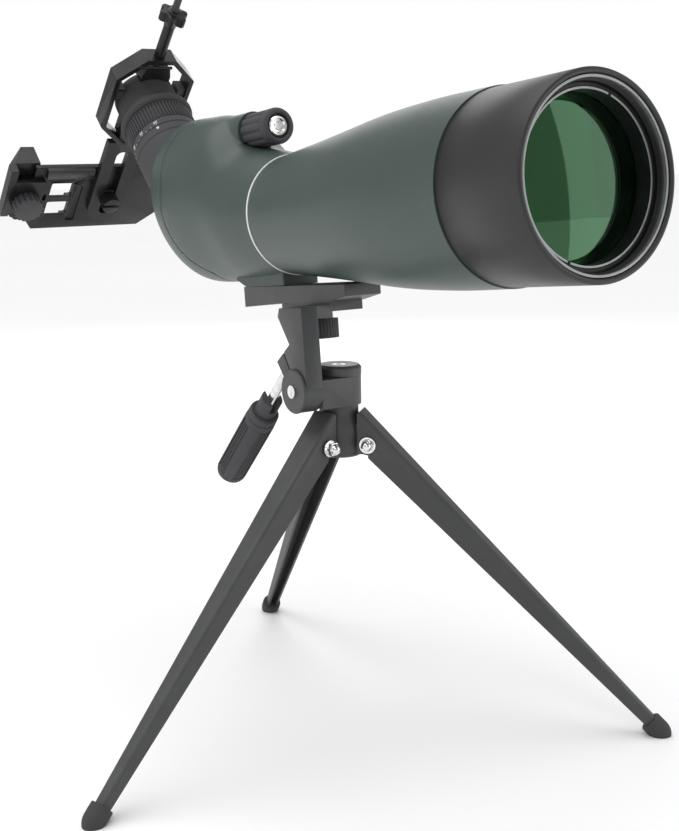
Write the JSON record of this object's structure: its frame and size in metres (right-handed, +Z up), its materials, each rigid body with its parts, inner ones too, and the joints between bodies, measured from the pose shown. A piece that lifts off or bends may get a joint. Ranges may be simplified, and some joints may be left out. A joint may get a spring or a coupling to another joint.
{
  "type": "spotting scope on a tabletop tripod",
  "caption": "Angled zoom spotting scope with sliding sunshade and phone adapter, on a folding tabletop tripod with a pan and tilt head.",
  "frame": {"origin": "middle of the bounding box in plan, on the level that the three feet stand on", "axes": "+X is the way the scope looks, +Y to its left, +Z up"},
  "size_m": [0.5644, 0.3346, 0.4444],
  "materials": {
    "body_green": "satin grey-green",
    "hood_black": "satin charcoal",
    "trim_white": "gloss",
    "black_plastic": "fine grain",
    "rubber": "matte",
    "cell_alloy": "black anodised",
    "optical_glass": "green coating",
    "tripod_alloy": "dark grey powder coat",
    "bright_steel": "bright plated"
  },
  "bodies": {
    "base": {"tripod_spider": "tripod_alloy", "pan_screw": "bright_steel", "leg_bolts": "bright_steel", "leg_washers": "bright_steel", "leg_nuts": "bright_steel"},
    "leg_1": {"leg_1": "tripod_alloy", "foot_1": "rubber"},
    "leg_2": {"leg_2": "tripod_alloy", "foot_2": "rubber"},
    "leg_3": {"leg_3": "tripod_alloy", "foot_3": "rubber"},
    "pan_head": {"pan_housing": "tripod_alloy", "pan_cap": "black_plastic", "pivot_bolt": "bright_steel"},
    "scope": {"tilt_arm": "tripod_alloy", "hub_disc": "tripod_alloy", "head_plate": "tripod_alloy", "plate_pad": "rubber", "foot_screw": "bright_steel", "barrel_shell": "body_green", "trim_ring": "trim_white", "prism_housing": "body_green", "rear_cover": "body_green", "mounting_foot": "body_green", "objective_cell": "cell_alloy", "crown_lens": "optical_glass", "flint_lens": "optical_glass", "lens_retainer": "black_plastic", "baffles": "black_plastic", "roof_prism": "optical_glass", "prism_bracket": "black_plastic", "eyepiece_collar": "black_plastic", "eyepiece_tube": "cell_alloy", "eyepiece_lenses": "optical_glass", "eyecup": "rubber", "adapter_frame": "black_plastic", "grip_pads": "rubber", "clamp_sleeve": "black_plastic"},
    "handle": {"handle_rod": "bright_steel", "handle_collar": "black_plastic", "handle_grip": "black_plastic"},
    "plate_knob": {"plate_knob": "black_plastic", "plate_knob_screw": "bright_steel"},
    "sunshade": {"sunshade": "hood_black"},
    "focus_knob": {"focus_knob": "black_plastic", "focus_knob_cap": "bright_steel", "focus_shaft": "bright_steel"},
    "focus_cell": {"focus_carriage": "black_plastic", "focus_lens": "optical_glass"},
    "zoom_ring": {"zoom_ring": "black_plastic"},
    "zoom_field_cell": {"zoom_field_cell": "black_plastic"},
    "zoom_eye_cell": {"zoom_eye_cell": "black_plastic"},
    "clamp_knob": {"clamp_knob": "black_plastic"},
    "clamp_rod": {"clamp_rod": "bright_steel", "clamp_block": "black_plastic"},
    "phone_plate": {"phone_plate": "black_plastic"},
    "arm_knob": {"arm_knob": "black_plastic"},
    "phone_jaw": {"phone_jaw": "black_plastic"},
    "jaw_knob": {"jaw_knob": "black_plastic"}
  },
  "joints": [
    {"name": "leg_1_fold", "type": "hinge", "parent": "base", "child": "leg_1", "pos_m": [0.08059, 0.04061, 0.17], "axis": [-0.6871, 0.7266, 0], "range_deg": [0, 44]},
    {"name": "leg_2_fold", "type": "hinge", "parent": "base", "child": "leg_2", "pos_m": [0.04942, 0.03318, 0.17], "axis": [-0.2857, -0.9583, 0], "range_deg": [0, 44]},
    {"name": "leg_3_fold", "type": "hinge", "parent": "base", "child": "leg_3", "pos_m": [0.07144, 0.0099, 0.17], "axis": [0.9728, 0.2317, 0], "range_deg": [0, 44]},
    {"name": "pan", "type": "hinge", "parent": "base", "child": "pan_head", "pos_m": [0.06715, 0.02789, 0.2], "axis": [0, 0, 1], "continuous": true},
    {"name": "tilt", "type": "hinge", "parent": "pan_head", "child": "scope", "pos_m": [0.06857, 0.02789, 0.20369], "axis": [0, -1, 0], "range_deg": [-40, 25]},
    {"name": "handle_twist", "type": "hinge", "parent": "scope", "child": "handle", "pos_m": [0.05889, 0.00215, 0.22016], "axis": [-0.7029, 0, -0.7113], "range_deg": [-180, 30]},
    {"name": "plate_knob_turn", "type": "hinge", "parent": "scope", "child": "plate_knob", "pos_m": [0.04659, 0.02789, 0.23568], "axis": [-0.0931, 0, 0.9957], "continuous": true},
    {"name": "sunshade_slide", "type": "slide", "parent": "scope", "child": "sunshade", "axis": [0.9957, 0, 0.0931], "range_m": [0, 0.034]},
    {"name": "focus_turn", "type": "hinge", "parent": "scope", "child": "focus_knob", "pos_m": [-0.00762, 0.02789, 0.35365], "axis": [0.9957, 0, 0.0931], "range_deg": [-540, 540]},
    {"name": "focus_slide", "type": "slide", "parent": "scope", "child": "focus_cell", "axis": [0.9957, 0, 0.0931], "range_m": [-0.003, 0.003]},
    {"name": "zoom_turn", "type": "hinge", "parent": "scope", "child": "zoom_ring", "pos_m": [-0.15201, 0.02789, 0.35136], "axis": [-0.7234, 0, 0.6904], "range_deg": [0, 150]},
    {"name": "zoom_field_slide", "type": "slide", "parent": "scope", "child": "zoom_field_cell", "axis": [-0.7234, 0, 0.6904], "range_m": [0, 0.008]},
    {"name": "zoom_eye_slide", "type": "slide", "parent": "scope", "child": "zoom_eye_cell", "axis": [-0.7234, 0, 0.6904], "range_m": [-0.006, 0]},
    {"name": "clamp_turn", "type": "hinge", "parent": "scope", "child": "clamp_knob", "pos_m": [-0.12957, 0.02789, 0.43223], "axis": [0.6904, 0, 0.7234], "range_deg": [0, 1620]},
    {"name": "clamp_slide", "type": "slide", "parent": "scope", "child": "clamp_rod", "axis": [0.6904, 0, 0.7234], "range_m": [0, 0.0045]},
    {"name": "phone_plate_slide", "type": "slide", "parent": "scope", "child": "phone_plate", "axis": [0.6904, 0, 0.7234], "range_m": [-0.005, 0.024]},
    {"name": "arm_knob_turn", "type": "hinge", "parent": "phone_plate", "child": "arm_knob", "pos_m": [-0.24147, 0.02289, 0.30542], "axis": [-0.7234, 0, 0.6904], "continuous": true},
    {"name": "phone_jaw_slide", "type": "slide", "parent": "phone_plate", "child": "phone_jaw", "axis": [0, -1, 0], "range_m": [-0.0135, 0.006]},
    {"name": "jaw_knob_turn", "type": "hinge", "parent": "phone_jaw", "child": "jaw_knob", "pos_m": [-0.24285, -0.0421, 0.30397], "axis": [-0.7234, 0, 0.6904], "continuous": true}
  ],
  "couplings": [
    {"joint": "focus_turn", "follows": "focus_slide", "rad_per_m": 3141.6},
    {"joint": "zoom_turn", "follows": "zoom_field_slide", "rad_per_m": 327.25},
    {"joint": "zoom_eye_slide", "follows": "zoom_field_slide", "ratio": -0.75},
    {"joint": "clamp_turn", "follows": "clamp_slide", "rad_per_m": 6283.2}
  ]
}
